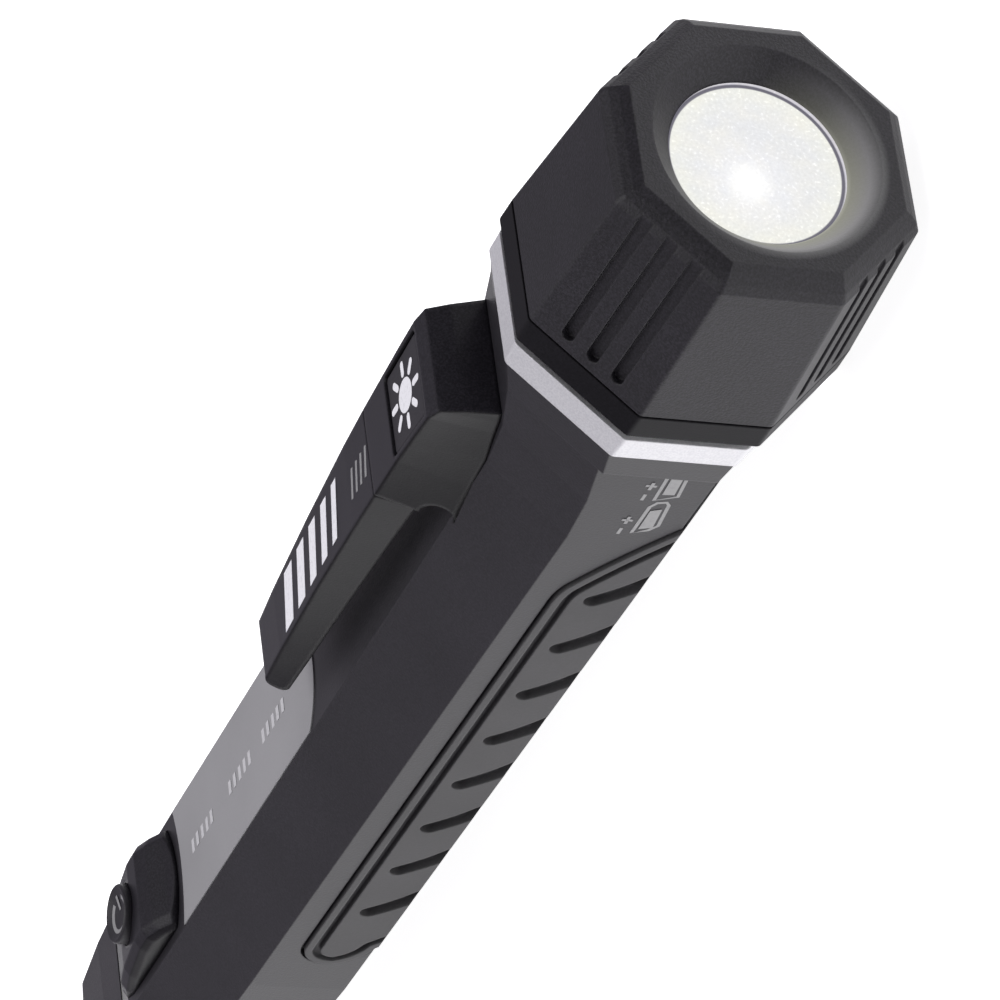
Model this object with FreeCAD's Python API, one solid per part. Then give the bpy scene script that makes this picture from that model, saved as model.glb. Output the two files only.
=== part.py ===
import FreeCAD, Part
import math
import os

# Non contact voltage tester with a lamp head. All sizes in millimetres.
# While it is built, the tool's axis is the X axis, the lamp's front face is x = 0, the
# tail is towards -X and the clip is towards +Z. Everything moves to the row frame at the end.

TOTAL_LENGTH = 178.0
REST_HEIGHT = 14.8

# Lamp head
CHAMFER_END = -2.05
PARTING_LINE = -19.8
HEAD_REAR = -22.7
LIP_REAR = -2.3
DISH_RADIUS = 10.25
WINDOW_OPENING = 8.0
WINDOW_RADIUS = 9.2
WINDOW_THICKNESS = 1.5
CORE_RADIUS = 12.2
SOCKET_RADIUS = 10.6
CHAMBER_RADIUS = 8.5
CHAMBER_REAR = -14.0
SOCKET_FRONT = -15.4
SLOT_WIDTH = 1.25
SLOT_PITCH = 2.75
SLOT_DEPTH = 0.5
SLOT_REAR = -17.9

# Trim ring and neck
RING_FRONT = -24.06
RING_REAR = -26.97
RING_BORE = 13.3
SPIGOT_FRONT = -23.75
NECK_RADIUS = 10.5
NECK_FRONT = -17.4

# Housing
COLLAR_REAR = -30.7
BODY_FRONT = -42.0
BODY_REAR = -130.0
TAIL_REAR = -150.0
LABEL_HEIGHT = 10.03
LABEL_SLOPE = 0.49
WALL = 1.6
CAVITY_FRONT = -40.0

# Cells
CELL_LENGTH = 44.5
CELL_RADIUS = 5.2
CELL_NUB = 1.0
CELL_FRONT = -20.4
SLEEVE_BORE = 5.35
SLEEVE_RADIUS = 6.1
TAIL_PLATE = -113.6

# Clip
CLIP_SEAM = -52.0
SEAM_GAP = 0.08
ARM_UNDERSIDE = 13.3
ARM_TIP = -88.3

# Buttons
LIGHT_BUTTON_X = -42.25
POWER_BUTTON_X = -141.0
POWER_BUTTON_RADIUS = 3.0
BUTTON_GAP = 0.15

# Boards and screws
BOARD_UNDERSIDE = 6.5
BOARD_TOP = 7.4
SCREW_STATIONS = (-104.0, -138.0)

ROOT_TWO = math.sqrt(2.0)


def vec(x, y, z):
    return FreeCAD.Vector(x, y, z)


def closed(points):
    return Part.makePolygon(points + [points[0]])


def box(x_low, x_high, y_low, y_high, z_low, z_high):
    return Part.makeBox(x_high - x_low, y_high - y_low, z_high - z_low, vec(x_low, y_low, z_low))


def rod(x_rear, x_front, radius, y=0.0, z=0.0):
    return Part.makeCylinder(radius, x_front - x_rear, vec(x_rear, y, z), vec(1, 0, 0))


def tube(x_rear, x_front, outer, inner):
    return rod(x_rear, x_front, outer).cut(rod(x_rear, x_front, inner))


def cone(x_rear, x_front, rear_radius, front_radius):
    return Part.makeCone(rear_radius, front_radius, x_front - x_rear, vec(x_rear, 0, 0), vec(1, 0, 0))


def post(x, y, z_low, z_high, radius):
    return Part.makeCylinder(radius, z_high - z_low, vec(x, y, z_low), vec(0, 0, 1))


def side_prism(points, y_low, y_high):
    """Closed outline in the XZ plane, given as (x, z), pulled along Y."""
    wire = closed([vec(x, y_low, z) for x, z in points])
    return Part.Face(wire).extrude(vec(0, y_high - y_low, 0))


def octagon(x, plain, slanted):
    """Outline across the axis: plain is the half width over the flats that face up, down and
    sideways, slanted is the same over the four flats between them."""
    near = ROOT_TWO * slanted - plain
    corners = [(near, plain), (plain, near), (plain, -near), (near, -plain)]
    right = [vec(x, y, z) for y, z in corners]
    left = [vec(x, -y, z) for y, z in reversed(corners)]
    return closed(right + left)


def body_outline(x, top_half, top, side, high, low, base_half, base, grow=0.0):
    """Eight-sided outline of the housing or nose, moved outwards by grow. The upper flat is
    top_half to each side at height top, the side flat runs from low to high, and the lower
    flat is base_half to each side at height -base."""
    corners = [(top_half, top, 22.5), (side, high, 67.5), (side, low, 112.5), (base_half, -base, 157.5)]
    reach = grow / math.cos(math.radians(22.5))
    moved = []
    for y, z, lean in corners:
        turn = math.radians(lean)
        moved.append((y + reach * math.sin(turn), z + reach * math.cos(turn)))
    right = [vec(x, y, z) for y, z in moved]
    left = [vec(x, -y, z) for y, z in reversed(moved)]
    return closed(right + left)


def ruled(wires):
    return Part.makeLoft(wires, True, True)


def coil(x_rear, x_front, rear_radius, wire_radius, turns):
    """Round-wire compression spring along X."""
    height = x_front - x_rear - 2.0 * wire_radius
    path = Part.makeLongHelix(height / turns, height, rear_radius)
    section = Part.Wire(Part.makeCircle(wire_radius, vec(rear_radius, 0, 0), vec(0, 1, 0)))
    spring = Part.Wire(path).makePipeShell([section], True, True)
    spring.rotate(vec(0, 0, 0), vec(0, 1, 0), 90.0)
    spring.translate(vec(x_rear + wire_radius, 0, 0))
    return spring


# --- Lamp head -------------------------------------------------------------------------


def grip_slots():
    """Three open-ended slots in each slanted flat of the head sleeve."""
    front_floor = 13.6 - SLOT_DEPTH
    rear_floor = 14.46 - SLOT_DEPTH
    profile = [(1.0, 20.0), (1.0, front_floor), (SLOT_REAR, rear_floor), (SLOT_REAR, 20.0)]
    cutters = []
    for lateral in (-SLOT_PITCH, 0.0, SLOT_PITCH):
        half = SLOT_WIDTH / 2.0
        channel = side_prism(profile, lateral - half, lateral + half)
        channel = channel.fuse(post(SLOT_REAR, lateral, rear_floor, 20.0, half))
        for turn in (45.0, 135.0, 225.0, 315.0):
            cutter = channel.copy()
            cutter.rotate(vec(0, 0, 0), vec(1, 0, 0), turn)
            cutters.append(cutter)
    return cutters


def long_edges(shape, low, high):
    """Edges that run mainly along the axis on the outside, between two radii."""
    found = []
    for edge in shape.Edges:
        start = edge.Vertexes[0].Point
        end = edge.Vertexes[-1].Point
        middle = (start + end) * 0.5
        radius = math.hypot(middle.y, middle.z)
        if abs(start.x - end.x) > 0.8 * edge.Length and low < radius < high:
            found.append(edge)
    return found


def octagon_ring(x_rear, x_front, inner):
    """Square-edged ring, eight-sided inside, used to cut a shallow groove round the outside."""
    block = box(x_rear, x_front, -20.0, 20.0, -20.0, 20.0)
    return block.cut(ruled([octagon(x_rear, inner, inner - 0.2), octagon(x_front, inner, inner - 0.2)]))


def head_bezel():
    """Soft outer sleeve with the dished lip around the window."""
    sleeve = ruled([octagon(CHAMFER_END, 13.64, 13.58), octagon(PARTING_LINE, 14.8, 14.73)])
    front = ruled([
        octagon(0.0, 11.77, 11.82),
        octagon(-0.55, 12.55, 12.5),
        octagon(-1.2, 13.17, 13.12),
        octagon(CHAMFER_END, 13.64, 13.58),
    ])
    sleeve = sleeve.fuse(front).removeSplitter()
    sleeve = sleeve.makeFillet(0.7, long_edges(sleeve, 12.0, 17.0))
    groove = octagon_ring(PARTING_LINE, PARTING_LINE + 0.22, 14.45)
    sleeve = sleeve.cut(groove)
    sleeve = sleeve.cut(rod(PARTING_LINE, LIP_REAR, CORE_RADIUS))
    sleeve = sleeve.cut(cone(LIP_REAR, 0.0, WINDOW_OPENING, DISH_RADIUS))
    return sleeve.cut(grip_slots())


def head_core():
    """Hard body of the head: window seat, optical chamber, partition and threaded socket."""
    rim = ruled([octagon(PARTING_LINE, 14.84, 14.73), octagon(HEAD_REAR, 14.84, 14.79)])
    rim = rim.makeFillet(0.7, long_edges(rim, 14.0, 17.0))
    rim = rim.cut(box(-30.0, 0.0, -20.0, 20.0, -20.0, -REST_HEIGHT))
    core = rod(PARTING_LINE, LIP_REAR, CORE_RADIUS).fuse(rim)
    core = core.cut(rod(-4.9, 0.0, WINDOW_RADIUS))
    core = core.cut(rod(CHAMBER_REAR, 0.0, CHAMBER_RADIUS))
    core = core.cut(rod(HEAD_REAR, SOCKET_FRONT, SOCKET_RADIUS))
    return core.cut(rod(SOCKET_FRONT, CHAMBER_REAR, 2.0))


def lens():
    rear = LIP_REAR - WINDOW_THICKNESS
    return rod(rear, LIP_REAR, WINDOW_RADIUS)


def lens_gasket():
    return tube(-4.9, LIP_REAR - WINDOW_THICKNESS, WINDOW_RADIUS, 8.1)


def reflector():
    """Cone with a rim that sits on the partition around the emitter."""
    outer = cone(-12.4, -4.9, 4.2, CHAMBER_RADIUS)
    inner = cone(-12.4, -4.9, 2.9, 8.0)
    return outer.cut(inner)


def led_board():
    board = rod(CHAMBER_REAR, -12.9, 8.2)
    return board.cut(rod(CHAMBER_REAR, -13.4, 1.0))


def led_emitter():
    base = box(-12.9, -12.2, -1.75, 1.75, -1.75, 1.75)
    dome = Part.makeSphere(1.4, vec(-12.2, 0, 0)).common(box(-12.2, -10.0, -2, 2, -2, 2))
    return base.fuse(dome)


# --- Contact carrier, which rides in and out with the head without turning -----------------


def contact_carrier():
    """Keyed disc. Its prong slides in a slot of the neck."""
    disc = rod(-16.9, -15.7, 9.0)
    prong = box(-22.4, -16.9, -1.2, 1.2, -8.5, -7.3)
    return disc.fuse(prong).cut(rod(-16.9, -15.7, 0.9))


def contact_pin():
    shank = rod(-16.9, -14.0, 0.9)
    foot = rod(-17.3, -16.9, 1.6)
    return shank.fuse(foot)


def contact_spring():
    return coil(-20.1, -17.3, 1.3, 0.22, 3.0)


# --- Housing -----------------------------------------------------------------------------


def housing_solid(grow):
    """Outside of the housing, moved outwards by grow."""
    stations = [
        (RING_REAR, 5.7, 14.1, 14.0, 5.8, -5.8, 5.8, 14.0),
        (COLLAR_REAR, 6.0, 12.75, 13.75, 5.0, -5.6, 5.7, 12.6),
        (COLLAR_REAR - 0.05, 5.98, 12.73, 13.35, 5.36, -5.8, 5.6, 12.0),
        (-36.0, 6.4, 11.35, 13.32, 4.43, -5.75, 5.6, 11.7),
        (BODY_FRONT, 6.4, 10.6, 13.3, 4.0, -5.7, 5.6, 11.5),
        (BODY_REAR, 6.4, 9.85, 12.85, 4.2, -5.6, 5.4, 11.3),
        (TAIL_REAR, 6.25, 9.6, 12.2, 4.1, -5.2, 5.2, 10.8),
    ]
    return ruled([body_outline(*station, grow) for station in stations])


def neck():
    """Eight-sided spigot for the trim ring and the threaded neck in front of it."""
    spigot = ruled([octagon(SPIGOT_FRONT, RING_BORE, RING_BORE), octagon(RING_REAR, RING_BORE, RING_BORE)])
    shape = spigot.fuse(rod(RING_REAR, NECK_FRONT, NECK_RADIUS))
    shape = shape.cut(tube(-20.4, -18.8, NECK_RADIUS + 1.0, 9.25))
    return shape.cut(box(-23.2, NECK_FRONT, -1.4, 1.4, -8.7, -7.1))


def cavity():
    """Room for the cell sleeve and the boards, open at the tail, with ribs and screw bosses."""
    room = housing_solid(-WALL).common(box(TAIL_REAR, CAVITY_FRONT, -20.0, 20.0, -20.0, 20.0))
    rib = box(-112.0, -110.0, -12.0, 12.0, -12.0, BOARD_UNDERSIDE)
    rib = rib.cut(rod(-112.0, -110.0, SLEEVE_RADIUS))
    bulkhead = box(-136.0, -134.0, -12.0, 12.0, -12.0, BOARD_UNDERSIDE)
    bosses = [post(x, 0.0, -12.0, -6.6, 3.2) for x in SCREW_STATIONS]
    return room.cut([rib, bulkhead] + bosses)


def label_outline(inset):
    """Plate outline seen from above: straight sides, a bowed front end and a hollowed rear end."""
    half = 6.3 - inset
    front = -88.4 - inset
    shoulder = -91.2 - inset
    rear_side = -130.9 + inset
    rear_middle = -129.9 + inset
    a = vec(rear_side, -half, 0)
    b = vec(shoulder, -half, 0)
    c = vec(shoulder, half, 0)
    d = vec(rear_side, half, 0)
    edges = [
        Part.LineSegment(a, b).toShape(),
        Part.Arc(b, vec(front, 0, 0), c).toShape(),
        Part.LineSegment(c, d).toShape(),
        Part.Arc(d, vec(rear_middle, 0, 0), a).toShape(),
    ]
    return Part.Wire(edges)


def label_slab(inset, low, high):
    """Slab with the label's outline, tilted with the top flat; low and high count from that flat."""
    slab = Part.Face(label_outline(inset)).extrude(vec(0, 0, high - low))
    slab.translate(vec(0, 0, LABEL_HEIGHT + low))
    slab.rotate(vec(-110.0, 0, LABEL_HEIGHT), vec(0, 1, 0), -LABEL_SLOPE)
    return slab


def pad_outline():
    """Outline of the side grip in the XZ plane. It wraps from the side flat to the lower flat."""
    top_rear = vec(-121.0, 0, 1.7)
    top_front = vec(-53.0, 0, 1.7)
    front_bend = vec(-50.2, 0, 1.15)
    front_side = vec(-38.9, 0, -6.0)
    front_foot = vec(-36.6, 0, -13.9)
    rear_foot = vec(-111.0, 0, -13.9)
    rear_side = vec(-120.6, 0, -5.8)
    rear_low = vec(-124.6, 0, -2.4)
    edges = [
        Part.LineSegment(top_rear, top_front).toShape(),
        Part.Arc(top_front, vec(-51.55, 0, 1.56), front_bend).toShape(),
        Part.Arc(front_bend, vec(-45.2, 0, -1.7), front_side).toShape(),
        Part.LineSegment(front_side, front_foot).toShape(),
        Part.LineSegment(front_foot, rear_foot).toShape(),
        Part.LineSegment(rear_foot, rear_side).toShape(),
        Part.Arc(rear_side, vec(-123.1, 0, -4.5), rear_low).toShape(),
        Part.Arc(rear_low, vec(-123.9, 0, 0.4), top_rear).toShape(),
    ]
    return Part.Wire(edges)


def through_side(wire, side):
    """Pull an outline in the XZ plane through one half of the tool: side is -1 or 1."""
    face = Part.Face(wire)
    face.translate(vec(0, 3.0 * side, 0))
    return face.extrude(vec(0, 17.0 * side, 0))


def pad_prism(inset, side):
    """The grip outline, drawn in by inset."""
    wire = pad_outline()
    if inset > 0.0:
        wire = wire.makeOffset2D(-inset)
    return through_side(wire, side)


def groove_prism(x_inner, side):
    """One oblique groove of the grip, curving forward as it runs down the side."""
    centre = vec(x_inner + 16.0, 0, 10.3)
    radius = 20.4
    half = 0.9

    def at(angle, reach):
        turn = math.radians(angle)
        return centre + vec(reach * math.cos(turn), 0, reach * math.sin(turn))

    first, last = 218.0, 254.0
    middle = (first + last) / 2.0
    edges = [
        Part.Arc(at(first, radius + half), at(middle, radius + half), at(last, radius + half)).toShape(),
        Part.LineSegment(at(last, radius + half), at(last, radius - half)).toShape(),
        Part.Arc(at(last, radius - half), at(middle, radius - half), at(first, radius - half)).toShape(),
        Part.Arc(at(first, radius - half), at(first - 2.5, radius), at(first, radius + half)).toShape(),
    ]
    return through_side(Part.Wire(edges), side)


def grip_pad(side):
    """Soft side grip with a line inside its border and eight oblique grooves."""
    shell = housing_solid(0.25).cut(housing_solid(-1.0))
    pad = shell.common(pad_prism(0.35, side))
    channel = housing_solid(1.0).cut(housing_solid(-0.35))
    line = pad_prism(1.1, side).cut(pad_prism(1.9, side)).common(channel)
    pad = pad.cut(line)
    deep = housing_solid(1.0).cut(housing_solid(-0.65))
    for index in range(8):
        pad = pad.cut(groove_prism(-52.1 - 8.7 * index, side).common(deep))
    return pad


def main_housing():
    shape = housing_solid(0.0).fuse(neck()).cut(cavity())
    shape = shape.cut(rod(-42.0, 0.0, SLEEVE_RADIUS))
    skin = housing_solid(1.0).cut(housing_solid(-1.0))
    shape = shape.cut([skin.common(pad_prism(0.0, -1)), skin.common(pad_prism(0.0, 1))])
    shape = shape.cut(label_slab(0.0, -0.35, 2.0))
    shape = shape.cut(post(POWER_BUTTON_X, 0.0, 6.5, 12.0, 2.8))
    for x in SCREW_STATIONS:
        shape = shape.cut(post(x, 0.0, -20.0, -10.9, 2.3))
        shape = shape.cut(post(x, 0.0, -20.0, -8.0, 1.0))
    return shape


def housing_screws():
    """Two round-headed screws in the underside, with a cross recess each."""
    screws = []
    for x in SCREW_STATIONS:
        screw = post(x, 0.0, -12.2, -10.9, 2.2).fuse(post(x, 0.0, -10.9, -8.4, 1.0))
        screw = screw.cut(box(x - 1.4, x + 1.4, -0.25, 0.25, -12.2, -11.6))
        screw = screw.cut(box(x - 0.25, x + 0.25, -1.4, 1.4, -12.2, -11.6))
        screws.append(screw)
    return Part.makeCompound(screws)


def trim_ring():
    ring = ruled([octagon(RING_FRONT, 14.42, 14.18), octagon(RING_REAR, 14.3, 14.17)])
    ring = ring.makeFillet(0.8, long_edges(ring, 14.0, 16.5))
    return ring.cut(ruled([octagon(RING_FRONT, RING_BORE, RING_BORE), octagon(RING_REAR, RING_BORE, RING_BORE)]))


def neck_o_ring():
    return Part.makeTorus(9.85, 0.6, vec(-19.6, 0, 0), vec(1, 0, 0))


def label_plate():
    return label_slab(0.1, -0.35, 0.1)


# --- Cells and their contacts --------------------------------------------------------------


def cell(x_front):
    can = rod(x_front - CELL_LENGTH, x_front - CELL_NUB, CELL_RADIUS)
    return can.fuse(rod(x_front - CELL_NUB, x_front, 1.9))


def battery_sleeve():
    sleeve = tube(TAIL_PLATE - 0.4, -19.0, SLEEVE_RADIUS, SLEEVE_BORE)
    cap = rod(TAIL_PLATE - 1.4, TAIL_PLATE - 0.4, SLEEVE_RADIUS)
    sleeve = sleeve.fuse(cap)
    return sleeve.cut(contact_strip())


def contact_strip():
    return box(TAIL_PLATE - 0.4, -19.0, -1.1, 1.1, -5.98, -5.7)


def tail_contact():
    return rod(TAIL_PLATE - 0.4, TAIL_PLATE, SLEEVE_BORE)


def tail_spring():
    return coil(TAIL_PLATE, CELL_FRONT - 2.0 * CELL_LENGTH, 3.2, 0.3, 3.0)


# --- Clip ------------------------------------------------------------------------------------


def clip_section(x, top_half, top, foot_half, foot):
    return closed([
        vec(x, -top_half, top),
        vec(x, top_half, top),
        vec(x, foot_half, foot),
        vec(x, -foot_half, foot),
    ])


def clip_base():
    """Raised base with a steep front, a seat for the light button and the root of the arm."""
    stations = [
        (-34.9, 5.9, 11.2, 6.0, 9.0),
        (-35.6, 5.45, 14.8, 6.05, 9.0),
        (-36.3, 5.2, 16.9, 6.1, 9.0),
        (-38.0, 4.95, 17.35, 6.2, 9.0),
        (-42.0, 4.75, 17.4, 6.6, 9.0),
        (-46.0, 4.55, 17.4, 6.85, 9.0),
        (CLIP_SEAM, 4.4, 17.3, 7.2, 9.0),
    ]
    shape = ruled([clip_section(*station) for station in stations])
    gap = box(-60.0, -51.8, -9.0, 9.0, 0.0, ARM_UNDERSIDE)
    gap = gap.fuse(Part.makeCylinder(1.5, 18.0, vec(-51.8, -9.0, 11.8), vec(0, 1, 0)))
    shape = shape.cut(gap)
    shape = shape.cut(housing_solid(0.0))
    shape = shape.cut(button_seat())
    shape = shape.cut(box(-45.3, -38.4, -3.2, 3.2, 9.0, 14.7))
    shape = shape.cut(post(LIGHT_BUTTON_X, 0.0, 14.0, 17.0, 1.6))
    return shape.cut(clip_leaf())


def button_prism(gap, z_low, z_high):
    """Light button outline seen from above, drawn in by gap."""
    front = LIGHT_BUTTON_X + 4.0 - gap
    rear = LIGHT_BUTTON_X - 4.0 + gap
    front_half = 4.35 - gap
    rear_half = 4.05 - gap
    wire = closed([
        vec(front, -front_half, z_low),
        vec(front, front_half, z_low),
        vec(rear, rear_half, z_low),
        vec(rear, -rear_half, z_low),
    ])
    prism = Part.Face(wire).extrude(vec(0, 0, z_high - z_low))
    upright = [edge for edge in prism.Edges if abs(edge.Length - (z_high - z_low)) < 1e-6]
    return prism.makeFillet(0.5, upright)


def button_seat():
    return button_prism(0.0, 15.3, 19.0)


def light_button():
    cap = button_prism(BUTTON_GAP, 15.75, 17.25)
    top = [edge for edge in cap.Edges if min(vertex.Z for vertex in edge.Vertexes) > 17.2]
    cap = cap.makeFillet(0.25, top)
    return cap.fuse(post(LIGHT_BUTTON_X, 0.0, 14.35, 15.75, 1.45))


def light_switch():
    can = box(LIGHT_BUTTON_X - 2.0, LIGHT_BUTTON_X + 2.0, -2.0, 2.0, 12.5, 13.7)
    return can.fuse(post(LIGHT_BUTTON_X, 0.0, 13.7, 13.9, 1.0))


def light_switch_board():
    return box(-45.3, -38.4, -3.2, 3.2, 11.7, 12.5)


def clip_leaf():
    return box(-58.0, -48.0, -1.8, 1.8, 15.1, 15.5)


def clip_arm():
    """Sprung arm that tapers to a rounded tip and carries one end of the leaf spring."""
    start = CLIP_SEAM - SEAM_GAP
    stations = [
        (start, 4.4, 17.3, 5.2),
        (-58.0, 4.2, 17.15, 4.9),
        (-70.0, 3.7, 16.65, 4.5),
        (-82.0, 3.25, 15.95, 4.2),
        (ARM_TIP, 3.0, 15.45, 4.0),
    ]
    arm = ruled([clip_section(x, half, top, foot, ARM_UNDERSIDE) for x, half, top, foot in stations])
    tip = [edge for edge in arm.Edges if max(abs(v.X - ARM_TIP) for v in edge.Vertexes) < 1e-6]
    upper = [edge for edge in tip if min(v.Z for v in edge.Vertexes) > 15.0]
    lower = [edge for edge in tip if max(v.Z for v in edge.Vertexes) < 14.0]
    arm = arm.makeFillet(0.9, upper + lower)
    room = box(-58.5, start + 1.0, -2.1, 2.1, 14.75, 15.85)
    return arm.cut(room)


# --- Power button ------------------------------------------------------------------------------


def pod_section(x, half, top):
    return closed([
        vec(x, -half, 7.0),
        vec(x, -half, top - 1.3),
        vec(x, -half + 0.35, top - 0.5),
        vec(x, -half + 1.2, top),
        vec(x, half - 1.2, top),
        vec(x, half - 0.35, top - 0.5),
        vec(x, half, top - 1.3),
        vec(x, half, 7.0),
    ])


def power_pod():
    """Raised pad around the power button, bowed at its front."""
    stations = [
        (-130.9, 5.4, 10.0),
        (-132.6, 5.4, 10.75),
        (-134.4, 5.4, 11.85),
        (-136.2, 5.4, 12.5),
        (-138.5, 5.4, 12.5),
        (-144.5, 5.3, 11.7),
        (-148.0, 5.2, 10.9),
        (-149.9, 5.1, 10.1),
    ]
    shape = ruled([pod_section(*station) for station in stations])
    bow = Part.Arc(vec(-133.2, -5.6, 7), vec(-131.3, 0, 7), vec(-133.2, 5.6, 7)).toShape()
    back = Part.makePolygon([vec(-133.2, 5.6, 7), vec(-150, 5.6, 7), vec(-150, -5.6, 7), vec(-133.2, -5.6, 7)])
    plan = Part.Face(Part.Wire([bow] + back.Edges)).extrude(vec(0, 0, 7))
    shape = shape.common(plan)
    shape = shape.cut(housing_solid(0.0))
    shape = shape.cut(post(POWER_BUTTON_X, 0.0, 10.2, 20.0, POWER_BUTTON_RADIUS + BUTTON_GAP))
    return shape.cut(post(POWER_BUTTON_X, 0.0, 7.0, 20.0, 2.8))


def power_button():
    """Round key with a raised rim and a shallow dish."""
    key = post(POWER_BUTTON_X, 0.0, 10.75, 13.35, POWER_BUTTON_RADIUS)
    rim = [edge for edge in key.Edges if edge.BoundBox.ZMin > 13.3]
    key = key.makeFillet(0.45, rim)
    key = key.cut(Part.makeSphere(6.0, vec(POWER_BUTTON_X, 0, 18.6)))
    return key.fuse(post(POWER_BUTTON_X, 0.0, 9.6, 10.75, 1.6))


def power_switch():
    can = post(POWER_BUTTON_X, 0.0, BOARD_TOP, 8.9, 2.5)
    return can.fuse(post(POWER_BUTTON_X, 0.0, 8.9, 9.1, 1.0))


# --- Electronics ---------------------------------------------------------------------------------


def circuit_board():
    """Main board above the cells, narrower in the tail, with three chips."""
    board = box(-128.0, -56.0, -6.9, 6.9, BOARD_UNDERSIDE, BOARD_TOP)
    board = board.fuse(box(-146.5, -128.0, -4.9, 4.9, BOARD_UNDERSIDE, BOARD_TOP))
    for x, length, half in ((-74.0, 7.0, 3.2), (-96.0, 9.0, 3.4), (-119.0, 5.0, 2.4)):
        board = board.fuse(box(x - length / 2.0, x + length / 2.0, -half, half, BOARD_TOP, 8.2))
    return board


def sounder():
    disc = rod(-134.0, -132.0, 5.0, 0.0, -3.5)
    return disc.cut(rod(-132.6, -132.0, 0.8, 0.0, -3.5))


def vibration_motor():
    can = rod(-129.0, -119.0, 2.2, 0.0, -7.5)
    shaft = rod(-130.4, -129.0, 0.4, 0.0, -7.5)
    return can.fuse(shaft)


def alarm_lamp():
    base = box(-147.7, -146.5, -1.6, 1.6, 5.2, 7.2)
    return base.fuse(rod(-149.4, -147.7, 1.1, 0.0, 6.0))


# --- Tail ------------------------------------------------------------------------------------------


def tail_solid(stations, grow):
    return ruled([body_outline(*station, grow) for station in stations])


def light_ring():
    """Clear ring between the housing and the nose."""
    stations = [
        (TAIL_REAR, 6.25, 9.6, 12.2, 4.1, -5.2, 5.2, 10.8),
        (TAIL_REAR - 2.4, 6.2, 9.45, 12.0, 4.05, -5.15, 5.15, 10.65),
    ]
    return tail_solid(stations, -0.12).cut(tail_solid(stations, -2.0))


def nose():
    """Sensing end that tapers to a rounded tongue."""
    outside = [
        (TAIL_REAR - 2.4, 6.2, 9.45, 12.0, 4.05, -5.15, 5.15, 10.65),
        (-159.0, 6.1, 9.0, 11.3, 3.9, -4.9, 5.1, 10.1),
        (-167.5, 5.8, 8.1, 9.9, 3.4, -4.2, 4.8, 8.7),
        (-174.0, 4.8, 6.1, 7.8, 2.4, -3.0, 4.0, 6.3),
        (-TOTAL_LENGTH, 3.4, 3.5, 5.4, 1.2, -1.5, 3.0, 3.6),
    ]
    inside = [
        (TAIL_REAR - 2.4, 6.2, 9.45, 12.0, 4.05, -5.15, 5.15, 10.65),
        (-159.0, 6.1, 9.0, 11.3, 3.9, -4.9, 5.1, 10.1),
        (-168.0, 5.6, 7.8, 9.6, 3.2, -4.0, 4.6, 8.4),
    ]
    shape = tail_solid(outside, 0.0)
    tip = [edge for edge in shape.Edges if max(abs(v.X + TOTAL_LENGTH) for v in edge.Vertexes) < 1e-6]
    shape = shape.makeFillet(1.0, tip)
    return shape.cut(tail_solid(inside, -2.1)).cut(sensing_plate())


def sensing_plate():
    return box(-174.0, -156.0, -2.0, 2.0, -0.25, 0.25)


MAKERS = {
    "head_bezel": head_bezel,
    "head_core": head_core,
    "lens": lens,
    "lens_gasket": lens_gasket,
    "reflector": reflector,
    "led_board": led_board,
    "led_emitter": led_emitter,
    "contact_carrier": contact_carrier,
    "contact_pin": contact_pin,
    "contact_spring": contact_spring,
    "main_housing": main_housing,
    "housing_screws": housing_screws,
    "trim_ring": trim_ring,
    "neck_o_ring": neck_o_ring,
    "label_plate": label_plate,
    "grip_pad_right": lambda: grip_pad(-1),
    "grip_pad_left": lambda: grip_pad(1),
    "battery_front": lambda: cell(CELL_FRONT),
    "battery_rear": lambda: cell(CELL_FRONT - CELL_LENGTH),
    "battery_sleeve": battery_sleeve,
    "contact_strip": contact_strip,
    "tail_contact": tail_contact,
    "tail_spring": tail_spring,
    "clip_base": clip_base,
    "clip_leaf": clip_leaf,
    "clip_arm": clip_arm,
    "light_button": light_button,
    "light_switch": light_switch,
    "light_switch_board": light_switch_board,
    "power_pod": power_pod,
    "power_button": power_button,
    "power_switch": power_switch,
    "circuit_board": circuit_board,
    "sounder": sounder,
    "vibration_motor": vibration_motor,
    "alarm_lamp": alarm_lamp,
    "light_ring": light_ring,
    "nose": nose,
    "sensing_plate": sensing_plate,
}

os.makedirs("parts", exist_ok=True)
for node, maker in MAKERS.items():
    solid = maker()
    solid.translate(vec(TOTAL_LENGTH / 2.0, 0, REST_HEIGHT))
    solid.exportStep("parts/" + node + ".step")
    kinds = [item.Volume for item in solid.Solids]
    print(node, len(kinds), round(sum(kinds), 2), solid.isValid())
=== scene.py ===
import math

import bpy
import bmesh
from mathutils import Matrix, Vector


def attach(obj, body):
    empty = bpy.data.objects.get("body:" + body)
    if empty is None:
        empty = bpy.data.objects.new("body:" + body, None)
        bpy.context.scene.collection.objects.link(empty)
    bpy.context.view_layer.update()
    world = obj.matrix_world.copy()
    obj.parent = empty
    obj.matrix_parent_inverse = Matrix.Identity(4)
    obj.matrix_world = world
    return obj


# Looks of the voltage tester: materials for every CAD piece, the printed marks, the floor,
# the light and the camera. All sizes are in metres, in the CAD frame.

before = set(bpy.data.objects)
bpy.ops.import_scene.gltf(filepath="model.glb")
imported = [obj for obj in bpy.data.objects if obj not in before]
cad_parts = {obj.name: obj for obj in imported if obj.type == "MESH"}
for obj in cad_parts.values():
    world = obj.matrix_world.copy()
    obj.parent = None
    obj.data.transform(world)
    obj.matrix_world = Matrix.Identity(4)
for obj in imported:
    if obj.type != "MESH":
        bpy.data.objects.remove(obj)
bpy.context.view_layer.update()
MM = 0.001

# The tool's axis runs along X at this height, and its front face is at this X.
AXIS_HEIGHT = 14.8 * MM
FRONT_X = 89.0 * MM

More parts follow.
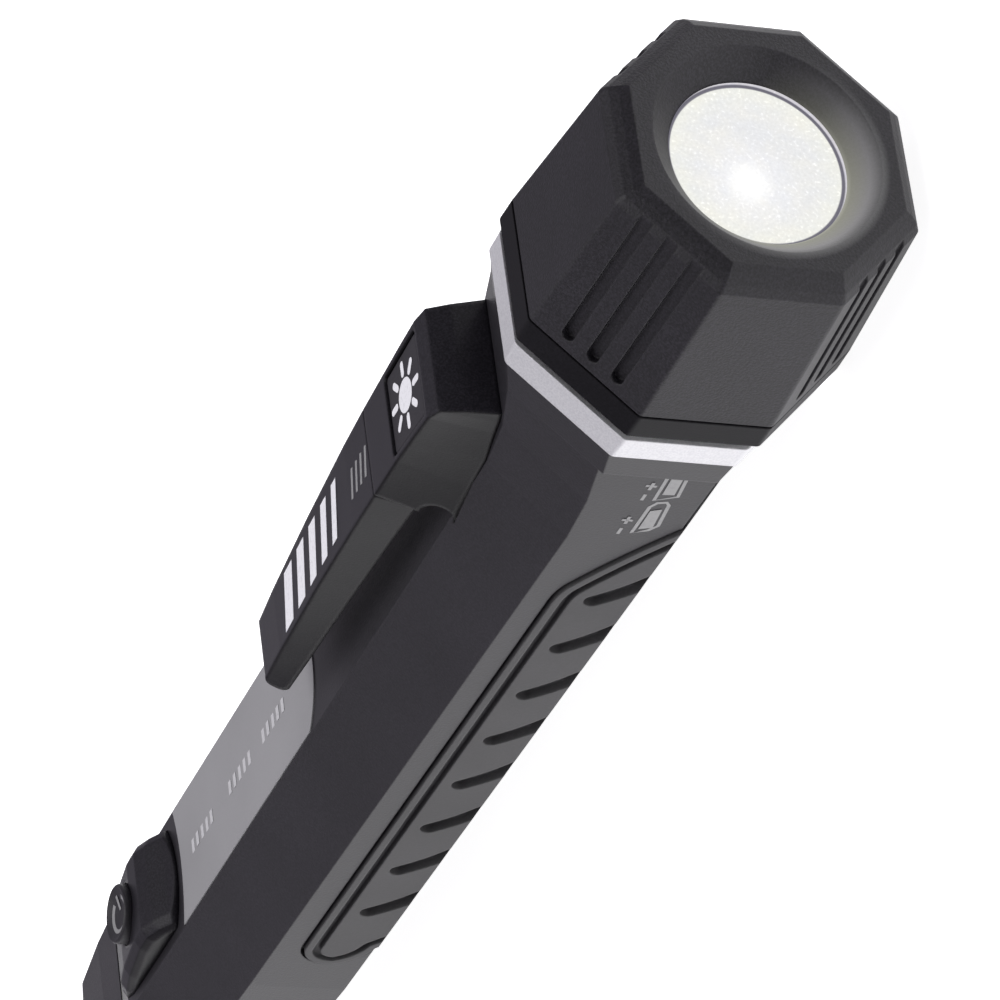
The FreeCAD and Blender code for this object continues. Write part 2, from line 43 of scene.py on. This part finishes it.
CAMERA_PLACE = (0.5055, -0.2961, 0.2283)
CAMERA_AIM = (0.0609, -0.0188, 0.0308)
CAMERA_ROLL = 85.5
CAMERA_LENS = 240.1

# Lamp: where the painted hot spot is brightest on the window, and the centre of the reflector's rim
# as its painted dark line and pale ring show there, as (y, z). Both are off the axis, because the lamp
# behind is seen at an angle.
HOT_SPOT = (-2.1 * MM, AXIS_HEIGHT + 1.1 * MM)
HOT_SPOT_REACH = 5.0 * MM
RIM_CENTRE = (-0.25 * MM, AXIS_HEIGHT + 0.22 * MM)
RIM_REACH = 9.0 * MM
DISH_INNER = 7.9 * MM
DISH_OUTER = 11.0 * MM

# Two cells lie in line. The front one ends at this X.
CELL_LENGTH = 44.5 * MM
CELL_FRONT_X = 68.6 * MM

RUBBER = (0.0138, 0.0125, 0.0164)

# The floor glows, as a lit white sweep does, and fades out ahead of the lamp.
FLOOR_GLOW = 0.9
FADED_GLOW = 0.1
FADE_START_X = 0.12
FADE_END_X = 0.9

# The surround is as strong as this around the tool, and as weak as this ahead of the lamp.
SURROUND_TINT = (1.0, 0.94, 1.08, 1.0)
SURROUND_LEVEL = 0.35
AHEAD_LEVEL = 0.1

# Printed marks. SUN_X and POWER_X are counted in millimetres from the front face.
INK_HEIGHT = 0.02 * MM
SUN_X = -42.25
POWER_X = -141.0


# --- Node helpers -------------------------------------------------------------------------


class Maker:
    """Builds one procedural material, with short calls for the nodes that most of them share."""

    def __init__(self, name):
        self.material = bpy.data.materials.new(name)
        self.material.use_nodes = True
        self.tree = self.material.node_tree
        self.shader = self.tree.nodes["Principled BSDF"]
        self.place = self.add("ShaderNodeTexCoord").outputs["Object"]

    def add(self, kind, **settings):
        node = self.tree.nodes.new(kind)
        for key, value in settings.items():
            setattr(node, key, value)
        return node

    def join(self, source, target):
        self.tree.links.new(source, target)

    def put(self, **values):
        for key, value in values.items():
            self.shader.inputs[key.replace("_", " ")].default_value = value

    def noise(self, scale, detail=3.0, roughness=0.55):
        node = self.add("ShaderNodeTexNoise")
        node.inputs["Scale"].default_value = scale
        node.inputs["Detail"].default_value = detail
        node.inputs["Roughness"].default_value = roughness
        self.join(self.place, node.inputs["Vector"])
        return node.outputs["Fac"]

    def math(self, operation, first, second):
        """One sum on a value; second is a number or another value."""
        node = self.add("ShaderNodeMath", operation=operation)
        self.join(first, node.inputs[0])
        if isinstance(second, float):
            node.inputs[1].default_value = second
        else:
            self.join(second, node.inputs[1])
        return node.outputs["Value"]

    def split(self, source):
        """X, Y and Z of a vector, as the outputs of one node."""
        parts = self.add("ShaderNodeSeparateXYZ")
        self.join(source, parts.inputs["Vector"])
        return parts.outputs

    def distance(self, y=0.0, z=AXIS_HEIGHT):
        """Distance of a point from a line along X through (y, z)."""
        moved = self.add("ShaderNodeVectorMath", operation="SUBTRACT")
        moved.inputs[1].default_value = (0.0, y, z)
        self.join(self.place, moved.inputs[0])
        flat = self.add("ShaderNodeVectorMath", operation="MULTIPLY")
        flat.inputs[1].default_value = (0.0, 1.0, 1.0)
        self.join(moved.outputs["Vector"], flat.inputs[0])
        reach = self.add("ShaderNodeVectorMath", operation="LENGTH")
        self.join(flat.outputs["Vector"], reach.inputs[0])
        return reach.outputs["Value"]

    def blend(self, mode, first, second):
        node = self.add("ShaderNodeMix", data_type="RGBA", blend_type=mode)
        node.inputs["Factor"].default_value = 1.0
        self.join(first, node.inputs["A"])
        self.join(second, node.inputs["B"])
        return node.outputs["Result"]

    def ramp(self, factor, stops):
        node = self.add("ShaderNodeValToRGB")
        while len(node.color_ramp.elements) < len(stops):
            node.color_ramp.elements.new(0.5)
        for element, (position, colour) in zip(node.color_ramp.elements, stops):
            element.position = position
            element.color = colour if len(colour) == 4 else (*colour, 1.0)
        self.join(factor, node.inputs["Fac"])
        return node.outputs["Color"]

    def span(self, factor, low, high, start=0.0, end=1.0):
        node = self.add("ShaderNodeMapRange")
        node.inputs["From Min"].default_value = start
        node.inputs["From Max"].default_value = end
        node.inputs["To Min"].default_value = low
        node.inputs["To Max"].default_value = high
        self.join(factor, node.inputs["Value"])
        return node.outputs["Result"]

    def relief(self, layers, edge=0.0):
        """Bump layers as (height, strength, depth), over a normal that is rounded at edges."""
        normal = None
        if edge > 0.0:
            rounded = self.add("ShaderNodeBevel", samples=6)
            rounded.inputs["Radius"].default_value = edge
            normal = rounded.outputs["Normal"]
        for height, strength, depth in layers:
            bump = self.add("ShaderNodeBump")
            bump.inputs["Strength"].default_value = strength
            bump.inputs["Distance"].default_value = depth
            self.join(height, bump.inputs["Height"])
            if normal is not None:
                self.join(normal, bump.inputs["Normal"])
            normal = bump.outputs["Normal"]
        self.join(normal, self.shader.inputs["Normal"])


def moulded(name, colour, rough, grain, depth, edge=0.25 * MM, spread=0.18, fleck=0.3):
    """Moulded plastic or rubber with a fine sparked grain and slow changes in tone."""
    made = Maker(name)
    slow = made.noise(60.0, 2.0)
    fine = made.noise(grain, 2.0, 0.6)
    dark = tuple(channel * (1.0 - spread) for channel in colour)
    light = tuple(channel * (1.0 + spread) for channel in colour)
    tone = made.ramp(slow, [(0.3, dark), (0.7, light)])
    speck = made.ramp(fine, [(0.4, (1.0 - fleck,) * 3), (0.66, (1.0 + fleck,) * 3)])
    made.join(made.blend("MULTIPLY", tone, speck), made.shader.inputs["Base Color"])
    made.join(made.span(fine, rough - 0.07, rough + 0.07), made.shader.inputs["Roughness"])
    made.relief([(fine, 0.5, depth)], edge)
    return made


def metal(name, colour, rough, grain=900.0, stretch=(1.0, 12.0, 12.0)):
    """Metal with fine drawn lines."""
    made = Maker(name)
    mapping = made.add("ShaderNodeMapping")
    mapping.inputs["Scale"].default_value = stretch
    made.join(made.place, mapping.inputs["Vector"])
    made.place = mapping.outputs["Vector"]
    lines = made.noise(grain, 4.0)
    dark = tuple(channel * 0.88 for channel in colour)
    made.join(made.ramp(lines, [(0.35, dark), (0.65, colour)]), made.shader.inputs["Base Color"])
    made.join(made.span(lines, rough - 0.06, rough + 0.06), made.shader.inputs["Roughness"])
    made.put(Metallic=1.0)
    made.relief([(lines, 0.15, 0.01 * MM)], 0.12 * MM)
    return made.material


def printed(name, colour):
    """Pad-printed ink with a slightly broken surface."""
    made = Maker(name)
    patchy = made.noise(2600.0, 3.0)
    worn = tuple(channel * 0.86 for channel in colour)
    made.join(made.ramp(patchy, [(0.3, worn), (0.5, colour)]), made.shader.inputs["Base Color"])
    made.put(Roughness=0.5)
    made.relief([(patchy, 0.2, 0.01 * MM)])
    return made.material


def satin_ring():
    """Bright painted ring with very fine sparkle."""
    made = Maker("satin_silver")
    fine = made.noise(5200.0, 2.0)
    tone = made.ramp(fine, [(0.35, (0.62, 0.62, 0.64)), (0.65, (0.72, 0.72, 0.735))])
    made.join(tone, made.shader.inputs["Base Color"])
    made.join(made.span(fine, 0.34, 0.46), made.shader.inputs["Roughness"])
    made.put(Metallic=0.35)
    made.relief([(fine, 0.25, 0.01 * MM)], 0.2 * MM)
    return made.material


def lit_window():
    """Frosted window glowing as if the lamp behind it were lit: an even painted glow, a painted hot spot,
    fine grains and, on one side, a painted dark shade line and a painted pale reflection ring of the
    reflector's rim."""
    made = Maker("lit_window")
    # Painted hot spot: extra glow that fades out from HOT_SPOT.
    hot = made.ramp(made.span(made.distance(*HOT_SPOT), 0.0, 1.0, 0.0, HOT_SPOT_REACH), [
        (0.0, (0.42, 0.42, 0.4)),
        (0.18, (0.2, 0.2, 0.2)),
        (0.48, (0.05, 0.05, 0.06)),
        (1.0, (0.0, 0.0, 0.0)),
    ])
    share = made.span(made.distance(*RIM_CENTRE), 0.0, 1.0, 0.0, RIM_REACH)
    # Painted glow, with a painted shade line (the dark stops) and a painted reflection ring (the pale stops
    # after it) where the reflector's rim shows.
    glow = made.ramp(share, [
        (0.0, (0.75, 0.75, 0.765)),
        (0.6, (0.77, 0.77, 0.765)),
        (0.835, (0.8, 0.8, 0.75)),
        (0.85, (0.78, 0.78, 0.74)),
        (0.86, (0.1, 0.095, 0.13)),
        (0.885, (0.07, 0.065, 0.1)),
        (0.9, (0.62, 0.6, 0.66)),
        (0.97, (0.5, 0.47, 0.46)),
    ])
    grains = made.noise(3400.0, 3.0)
    clouds = made.noise(500.0, 2.0)
    fleck = made.ramp(grains, [
        (0.3, (0.94, 0.94, 0.94)),
        (0.6, (1.03, 1.03, 1.03)),
        (0.72, (1.25, 1.25, 1.25)),
    ])
    drift = made.ramp(clouds, [(0.3, (0.97, 0.98, 1.0)), (0.7, (1.03, 1.02, 0.98))])
    light = made.blend("ADD", made.blend("MULTIPLY", made.blend("MULTIPLY", glow, fleck), drift), hot)
    made.join(light, made.shader.inputs["Emission Color"])
    made.put(Base_Color=(0.02, 0.02, 0.02, 1.0), Emission_Strength=1.0, Roughness=0.3)
    made.relief([(grains, 0.1, 0.01 * MM)])
    return made.material


def lip_rubber():
    """The head's rubber, with lamplight spilling on the dish around the window."""
    made = moulded("lip_rubber", RUBBER, 0.52, 4200.0, 0.09 * MM, fleck=0.45)
    made.put(Specular_IOR_Level=0.37)
    near = made.ramp(made.span(made.distance(), 0.0, 1.0, DISH_INNER, DISH_OUTER), [
        (0.0, (1.0, 1.0, 0.84)),
        (0.12, (0.62, 0.62, 0.52)),
        (0.5, (0.5, 0.49, 0.5)),
        (0.8, (0.16, 0.16, 0.16)),
        (1.0, (0.0, 0.0, 0.0)),
    ])
    parts = made.split(made.place)
    across = made.math("ADD", parts["Y"], parts["Z"])
    side = made.span(across, 0.5, 0.0, AXIS_HEIGHT - 13.0 * MM, AXIS_HEIGHT + 7.0 * MM)
    grey = made.ramp(side, [(0.0, (0.0, 0.0, 0.0)), (0.2, (0.12, 0.12, 0.12)), (1.0, (1.0, 1.0, 1.0))])
    made.join(made.blend("MULTIPLY", near, grey), made.shader.inputs["Emission Color"])
    made.put(Emission_Strength=1.0)
    return made.material


def clip_black():
    """The clip's plastic: smooth on top and round the edges, with painted shade darkening its flanks."""
    made = moulded("clip_black", (0.019, 0.0177, 0.0222), 0.36, 5200.0, 0.02 * MM, 0.55 * MM)
    # Painted shade: the base colour is darkened where the surface faces along Y, on the flanks of the clip,
    # its arm and the power pod.
    facing = made.split(made.add("ShaderNodeTexCoord").outputs["Normal"])
    flank = made.math("ABSOLUTE", facing["Y"], 0.0)
    shade = made.ramp(flank, [(0.7, (1.0, 1.0, 1.0)), (0.95, (0.24, 0.24, 0.24))])
    base = made.shader.inputs["Base Color"]
    made.join(made.blend("MULTIPLY", base.links[0].from_socket, shade), base)
    made.put(Specular_IOR_Level=0.18)
    return made.material


def clear(name, colour, rough):
    """Tinted clear plastic."""
    made = Maker(name)
    cloud = made.noise(500.0, 3.0)
    dim = tuple(channel * 0.9 for channel in colour)
    made.join(made.ramp(cloud, [(0.35, dim), (0.65, colour)]), made.shader.inputs["Base Color"])
    made.join(made.span(cloud, rough - 0.05, rough + 0.05), made.shader.inputs["Roughness"])
    made.put(Transmission_Weight=0.6, IOR=1.49)
    made.relief([(cloud, 0.1, 0.01 * MM)], 0.15 * MM)
    return made.material


def board_green():
    """Circuit board: solder mask with tracks under it."""
    made = Maker("board_green")
    tracks = made.add("ShaderNodeTexBrick")
    tracks.inputs["Scale"].default_value = 420.0
    tracks.inputs["Mortar Size"].default_value = 0.03
    tracks.inputs["Color1"].default_value = (0.012, 0.09, 0.035, 1.0)
    tracks.inputs["Color2"].default_value = (0.015, 0.11, 0.045, 1.0)
    tracks.inputs["Mortar"].default_value = (0.03, 0.2, 0.08, 1.0)
    made.join(made.place, tracks.inputs["Vector"])
    made.join(tracks.outputs["Color"], made.shader.inputs["Base Color"])
    made.put(Roughness=0.3)
    made.relief([(tracks.outputs["Fac"], 0.3, 0.02 * MM)], 0.1 * MM)
    return made.material


def wrapped_cell():
    """Printed cell wrapper: dark body with a bright band at the positive end of each cell."""
    made = Maker("cell_wrapper")
    turns = made.add("ShaderNodeMath", operation="MULTIPLY_ADD")
    turns.inputs[1].default_value = 1.0 / CELL_LENGTH
    turns.inputs[2].default_value = 2.0 - CELL_FRONT_X / CELL_LENGTH
    made.join(made.split(made.place)["X"], turns.inputs[0])
    share = made.add("ShaderNodeMath", operation="FRACT")
    made.join(turns.outputs["Value"], share.inputs[0])
    tone = made.ramp(share.outputs["Value"], [
        (0.0, (0.03, 0.05, 0.12)),
        (0.72, (0.035, 0.06, 0.14)),
        (0.74, (0.6, 0.38, 0.12)),
        (0.95, (0.6, 0.38, 0.12)),
        (0.97, (0.7, 0.7, 0.72)),
    ])
    made.join(tone, made.shader.inputs["Base Color"])
    made.put(Roughness=0.3, Metallic=0.3)
    made.relief([(made.noise(1500.0), 0.1, 0.01 * MM)], 0.15 * MM)
    return made.material


# --- Materials of the CAD pieces --------------------------------------------------------------


def dress():
    shell_black = moulded("shell_black", (0.015, 0.0138, 0.0175), 0.46, 4600.0, 0.045 * MM).material
    rim_black = moulded("rim_black", (0.0065, 0.006, 0.0078), 0.5, 5200.0, 0.02 * MM)
    rim_black.put(Specular_IOR_Level=0.12)
    # Plastic of the clip, its arm and the power pod, with painted shade on its flanks.
    flank_shaded_black = clip_black()
    key_black = moulded("key_black", RUBBER, 0.5, 5200.0, 0.02 * MM).material
    grip_grey = moulded("grip_grey", (0.042, 0.041, 0.043), 0.6, 3600.0, 0.02 * MM, fleck=0.12).material
    label_grey = moulded(
        "label_grey", (0.33, 0.33, 0.335), 0.42, 5200.0, 0.004 * MM, 0.1 * MM, 0.06, 0.03
    ).material
    gasket = moulded("gasket_rubber", (0.01, 0.01, 0.01), 0.65, 2600.0, 0.02 * MM).material
    pale = moulded("pale_nylon", (0.62, 0.61, 0.58), 0.45, 1800.0, 0.02 * MM, 0.15 * MM, 0.06, 0.06).material
    gloss_black = moulded("gloss_black", (0.012, 0.012, 0.012), 0.2, 2600.0, 0.01 * MM).material
    bright = metal("bright_steel", (0.62, 0.62, 0.63), 0.28)
    dark_steel = metal("dark_steel", (0.12, 0.12, 0.13), 0.35)
    brass = metal("brass", (0.72, 0.52, 0.24), 0.3)
    mirror = metal("mirror_cone", (0.88, 0.88, 0.88), 0.1, 300.0)
    board = board_green()
    cells = wrapped_cell()
    finishes = {
        "head_bezel": lip_rubber(),
        "head_core": rim_black.material,
        "lens": lit_window(),
        "lens_gasket": gasket,
        "reflector": mirror,
        "led_board": pale,
        "led_emitter": clear("emitter_dome", (0.9, 0.8, 0.3), 0.2),
        "contact_carrier": pale,
        "contact_pin": brass,
        "contact_spring": bright,
        "main_housing": shell_black,
        "housing_screws": dark_steel,
        "trim_ring": satin_ring(),
        "neck_o_ring": gasket,
        "label_plate": label_grey,
        "grip_pad_right": grip_grey,
        "grip_pad_left": grip_grey,
        "battery_front": cells,
        "battery_rear": cells,
        "battery_sleeve": pale,
        "contact_strip": brass,
        "tail_contact": bright,
        "tail_spring": bright,
        "clip_base": flank_shaded_black,
        "clip_leaf": bright,
        "clip_arm": flank_shaded_black,
        "light_button": key_black,
        "light_switch": gloss_black,
        "light_switch_board": board,
        "power_pod": flank_shaded_black,
        "power_button": key_black,
        "power_switch": gloss_black,
        "circuit_board": board,
        "sounder": brass,
        "vibration_motor": bright,
        "alarm_lamp": clear("alarm_red", (0.8, 0.05, 0.04), 0.2),
        "light_ring": clear("frosted_ring", (0.7, 0.7, 0.68), 0.4),
        "nose": shell_black,
        "sensing_plate": brass,
    }
    for node, material in finishes.items():
        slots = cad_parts[node].data.materials
        slots.clear()
        slots.append(material)


# --- Printed marks ---------------------------------------------------------------------------


def patch(points):
    """Filled shape, given by its corners in order."""
    return points, [tuple(range(len(points)))]


def disc(x, y, radius, steps=40):
    turns = [2.0 * math.pi * step / steps for step in range(steps)]
    return patch([(x + radius * math.cos(turn), y + radius * math.sin(turn)) for turn in turns])


def stroke(path, width, closed=False):
    """Line of one width along a path."""
    points = []
    count = len(path)
    for index, place in enumerate(path):
        before = path[index - 1] if index or closed else place
        after = path[(index + 1) % count] if index < count - 1 or closed else place
        along = Vector((after[0] - before[0], after[1] - before[1])).normalized()
        across = Vector((-along.y, along.x)) * (width / 2.0)
        points.append((place[0] + across.x, place[1] + across.y))
        points.append((place[0] - across.x, place[1] - across.y))
    last = count if closed else count - 1
    faces = []
    for index in range(last):
        after = (index + 1) % count
        faces.append((2 * index, 2 * index + 1, 2 * after + 1, 2 * after))
    return points, faces


def capsule(start, end, width, steps=8):
    """Short bar with round ends."""
    along = Vector((end[0] - start[0], end[1] - start[1])).normalized()
    across = Vector((-along.y, along.x))
    points = []
    for centre, first in ((Vector(end), 0.0), (Vector(start), math.pi)):
        for step in range(steps + 1):
            turn = first + math.pi * step / steps
            place = centre + (across * math.cos(turn) + along * math.sin(turn)) * (width / 2.0)
            points.append((place.x, place.y))
    return patch(points)


def marks(name, shapes, node, side, body, material):
    """Lay printed shapes on a CAD piece. Shapes are in millimetres from the front face and the
    tool's axis: (x, y) when side is "top", (x, z) when side is "right"."""
    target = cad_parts[node]
    back = target.matrix_world.inverted()
    work = bmesh.new()
    for points, faces in shapes:
        corners = []
        for first, second in points:
            x = FRONT_X + first * MM
            if side == "top":
                start, heading = Vector((x, second * MM, 0.06)), Vector((0.0, 0.0, -1.0))
            else:
                start, heading = Vector((x, -0.04, AXIS_HEIGHT + second * MM)), Vector((0.0, 1.0, 0.0))
            found, place, normal, _ = target.ray_cast(back @ start, back.to_3x3() @ heading)
            if not found:
                raise ValueError(name + " misses " + node)
            place = target.matrix_world @ place
            corners.append(work.verts.new(place - heading * INK_HEIGHT))
        for face in faces:
            work.faces.new([corners[index] for index in face])
    bmesh.ops.recalc_face_normals(work, faces=work.faces)
    bmesh.ops.solidify(work, geom=work.faces[:], thickness=INK_HEIGHT * 1.5)
    mesh = bpy.data.meshes.new(name)
    work.to_mesh(mesh)
    work.free()
    mesh.materials.append(material)
    piece = bpy.data.objects.new(name, mesh)
    bpy.context.scene.collection.objects.link(piece)
    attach(piece, body)


def ring(x, y, radius, first, last, steps):
    """Points on an arc, with turns in degrees counted from +X towards +Y."""
    turns = [math.radians(first + (last - first) * step / steps) for step in range(steps + 1)]
    return [(x + radius * math.cos(turn), y + radius * math.sin(turn)) for turn in turns]


def add_marks():
    white = printed("white_ink", (0.97, 0.97, 1.0))
    grey = printed("grey_ink", (0.3, 0.3, 0.3))
    faint = printed("faint_ink", (0.62, 0.62, 0.63))

    sun = [disc(SUN_X, 0.0, 1.6)]
    for step in range(8):
        turn = math.radians(45.0 * step)
        near = (SUN_X + 2.15 * math.cos(turn), 2.15 * math.sin(turn))
        far = (SUN_X + 3.05 * math.cos(turn), 3.05 * math.sin(turn))
        sun.append(capsule(near, far, 0.68))
    marks("sun_mark", sun, "light_button", "top", "light_key", white)

    bars = []
    lean = 1.4
    for rear, width in ((-79.6, 2.6), (-75.2, 2.3), (-71.1, 2.0), (-67.3, 1.7), (-63.8, 1.4)):
        bars.append(patch([
            (rear, -2.7), (rear + width, -2.7),
            (rear + width + lean, 2.7), (rear + lean, 2.7),
        ]))
    marks("clip_bars", bars, "clip_arm", "top", "clip_arm", white)
    ticks = [stroke([(x, -1.7), (x + 0.7, 1.1)], 0.5) for x in (-57.3, -56.0, -54.7, -53.4)]
    marks("clip_ticks", ticks, "clip_arm", "top", "clip_arm", grey)

    front_cell = [(-30.85, -1.2), (-34.95, -1.4), (-34.1, -3.3), (-30.85, -2.95)]
    rear_cell = [(-36.1, -1.45), (-35.35, -1.9), (-35.15, -2.7), (-35.6, -3.05),
                 (-39.1, -3.4), (-39.9, -2.8), (-40.6, -1.45)]
    cells = [
        stroke(front_cell, 0.34),
        patch([(-31.2, -1.6), (-33.9, -1.75), (-33.8, -2.85), (-31.2, -2.65)]),
        stroke(rear_cell, 0.34, closed=True),
        patch([(-36.7, -1.75), (-36.3, -2.7), (-39.4, -3.0), (-39.8, -1.8)]),
    ]
    for x in (-33.6, -39.4):
        cells.append(stroke([(x - 1.5, -0.3), (x - 0.5, -0.3)], 0.3))
        cells.append(stroke([(x + 0.3, -0.3), (x + 1.5, -0.3)], 0.3))
        cells.append(stroke([(x + 0.9, -0.8), (x + 0.9, 0.2)], 0.3))
    marks("cell_marks", cells, "main_housing", "right", "tool_body", grey)

    dashes = []
    for start in (-97.4, -107.8, -119.8):
        for step in range(5):
            x = start - 1.5 * step
            dashes.append(stroke([(x, -0.8), (x, 0.6)], 0.75))
    marks("label_dashes", dashes, "label_plate", "top", "tool_body", faint)

    symbol = [
        stroke(ring(POWER_X, 0.0, 1.75, 125.0, 415.0, 30), 0.42),
        stroke([(POWER_X, 0.5), (POWER_X, 2.0)], 0.42),
    ]
    marks("power_mark", symbol, "power_button", "top", "power_key", grey)


# --- Stage ---------------------------------------------------------------------------------------


def floor():
    mesh = bpy.data.meshes.new("floor")
    work = bmesh.new()
    bmesh.ops.create_grid(work, x_segments=2, y_segments=2, size=6.0)
    work.to_mesh(mesh)
    work.free()
    plane = bpy.data.objects.new("floor", mesh)
    bpy.context.scene.collection.objects.link(plane)
    made = Maker("pale_floor")
    cloud = made.noise(3.0, 2.0)
    tone = made.ramp(cloud, [(0.3, (0.9, 0.9, 0.9)), (0.7, (0.92, 0.92, 0.92))])
    made.join(tone, made.shader.inputs["Base Color"])
    made.put(Roughness=0.9, Specular_IOR_Level=0.1)
    along = made.split(made.place)["X"]
    glow = made.span(along, FLOOR_GLOW, FADED_GLOW, FADE_START_X, FADE_END_X)
    made.join(glow, made.shader.inputs["Emission Strength"])
    made.put(Emission_Color=(1.0, 1.0, 1.0, 1.0))
    mesh.materials.append(made.material)


def panel(name, place, aim, size, power):
    light = bpy.data.lights.new(name, "AREA")
    light.shape = "RECTANGLE"
    light.size, light.size_y = size
    light.energy = power
    lamp = bpy.data.objects.new(name, light)
    lamp.location = place
    lamp.rotation_euler = (Vector(aim) - Vector(place)).to_track_quat("-Z", "Y").to_euler()
    bpy.context.scene.collection.objects.link(lamp)


def studio():
    """Even surround that darkens ahead of the lamp, and a soft light overhead."""
    world = bpy.data.worlds.new("studio")
    world.use_nodes = True
    tree = world.node_tree
    surround = tree.nodes["Background"]
    surround.inputs["Color"].default_value = SURROUND_TINT
    parts = tree.nodes.new("ShaderNodeSeparateXYZ")
    tree.links.new(tree.nodes.new("ShaderNodeTexCoord").outputs["Generated"], parts.inputs["Vector"])
    level = tree.nodes.new("ShaderNodeMapRange")
    level.inputs["From Min"].default_value = -0.1
    level.inputs["From Max"].default_value = 0.8
    level.inputs["To Min"].default_value = SURROUND_LEVEL
    level.inputs["To Max"].default_value = AHEAD_LEVEL
    tree.links.new(parts.outputs["X"], level.inputs["Value"])
    tree.links.new(level.outputs["Result"], surround.inputs["Strength"])
    bpy.context.scene.world = world
    panel("overhead", (0.1, -0.2, 1.6), (0.0, 0.0, 0.0), (1.6, 1.6), 19.0)


def camera():
    data = bpy.data.cameras.new("camera")
    data.lens = CAMERA_LENS
    data.sensor_width = 36.0
    data.clip_start = 0.01
    eye = bpy.data.objects.new("camera", data)
    place = Vector(CAMERA_PLACE)
    turn = (Vector(CAMERA_AIM) - place).to_track_quat("-Z", "Y").to_matrix()
    roll = Matrix.Rotation(math.radians(-CAMERA_ROLL), 3, "Z")
    eye.matrix_world = Matrix.Translation(place) @ (turn @ roll).to_4x4()
    bpy.context.scene.collection.objects.link(eye)
    bpy.context.scene.camera = eye


dress()
add_marks()
floor()
studio()
camera()
bpy.context.scene.view_settings.view_transform = "Standard"
